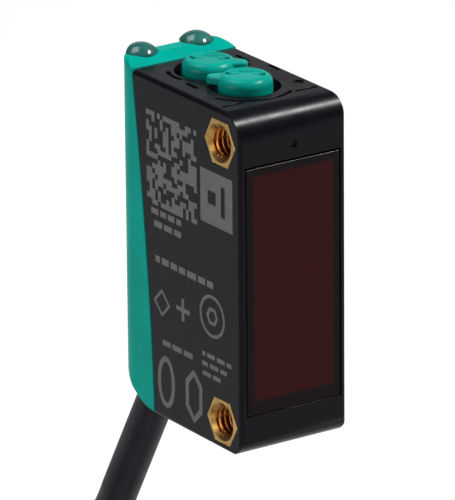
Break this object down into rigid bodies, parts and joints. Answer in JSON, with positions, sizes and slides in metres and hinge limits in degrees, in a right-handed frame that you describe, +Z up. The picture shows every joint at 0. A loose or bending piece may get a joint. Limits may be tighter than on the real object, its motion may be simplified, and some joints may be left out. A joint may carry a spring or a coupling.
{
  "type": "photoelectric sensor",
  "caption": "Slim block-shaped photoelectric sensor with tinted window, top adjusters, threaded mounting bushes and a short cable with a round plug.",
  "frame": {"origin": "halfway between the axes of the two M3 mounting threads, in the middle of the width", "axes": "+X across the width, along the mounting threads; -Y the way the light leaves the window; +Z up, towards the adjusters"},
  "size_m": [0.0539, 0.0689, 0.0635],
  "materials": {
    "black_housing": "fine matt moulded grain",
    "teal_cover": "satin moulded teal",
    "teal_knob": "smooth satin teal",
    "tinted_window": "dark red tinted, polished",
    "clear_lens": "clear polished plastic",
    "light_guide": "smoky clear plastic",
    "black_inner": "matt black",
    "black_rubber": "matt rubber",
    "circuit_board": "green solder mask",
    "lamp_white": "white package with a clear lens",
    "lamp_green": "small chip lamp",
    "lamp_yellow": "small chip lamp",
    "chip_black": "moulded chip package",
    "chip_ceramic": "ceramic chips with tinned ends",
    "tinned_can": "tinned sheet steel",
    "gold_contacts": "gold-plated contacts",
    "rotor_white": "white plastic",
    "brass_bush": "turned brass",
    "cable_sheath": "matt flexible sheath",
    "core_brown": "brown insulation",
    "core_white": "white insulation",
    "core_blue": "blue insulation",
    "core_black": "black insulation",
    "tie_plastic": "nylon",
    "plug_grip": "soft moulded grip",
    "nickel_nut": "nickel-plated brass"
  },
  "bodies": {
    "sensor": {"front_housing": "black_housing", "rear_cover": "teal_cover", "window_pane": "tinted_window", "window_gasket": "black_rubber", "emitter_lens": "clear_lens", "receiver_lens": "clear_lens", "optics_carrier": "black_inner", "main_board": "circuit_board", "emitter_led": "lamp_white", "photodiode": "chip_black", "shield_can": "tinned_can", "controller_chip": "chip_black", "output_driver": "chip_black", "smd_parts": "chip_ceramic", "board_header": "black_inner", "header_pins": "gold_contacts", "control_board": "circuit_board", "sensitivity_trimmer": "black_inner", "sensitivity_seal": "black_rubber", "mode_switch": "black_inner", "mode_seal": "black_rubber", "power_led": "lamp_green", "signal_led": "lamp_yellow", "power_light_guide": "light_guide", "signal_light_guide": "light_guide", "upper_bush": "brass_bush", "lower_bush": "brass_bush", "cable_grommet": "black_rubber", "cable_clamp": "tinned_can", "cable_end": "cable_sheath", "core_brown": "core_brown", "core_white": "core_white", "core_blue": "core_blue", "core_black": "core_black", "cable_drop": "cable_sheath", "cable_coil": "cable_sheath", "cable_tail": "cable_sheath", "cable_tie": "tie_plastic", "plug_body": "plug_grip", "plug_contact_carrier": "black_inner", "plug_pins": "gold_contacts"},
    "sensitivity_adjuster": {"sensitivity_knob": "teal_knob", "sensitivity_rotor": "rotor_white"},
    "mode_adjuster": {"mode_knob": "teal_knob", "mode_rotor": "rotor_white"},
    "screw_ring": {"coupling_nut": "nickel_nut", "plug_seal": "black_rubber"}
  },
  "joints": [
    {"name": "sensitivity_turn", "type": "hinge", "parent": "sensor", "child": "sensitivity_adjuster", "pos_m": [0, 0.00415, 0.015], "axis": [0, 0, 1], "range_deg": [0, 250]},
    {"name": "mode_turn", "type": "hinge", "parent": "sensor", "child": "mode_adjuster", "pos_m": [0, 0.00965, 0.015], "axis": [0, 0, 1], "range_deg": [0, 90]},
    {"name": "nut_turn", "type": "hinge", "parent": "sensor", "child": "screw_ring", "pos_m": [-0.0415, -0.02, -0.0415], "axis": [0, -1, 0], "continuous": true}
  ]
}
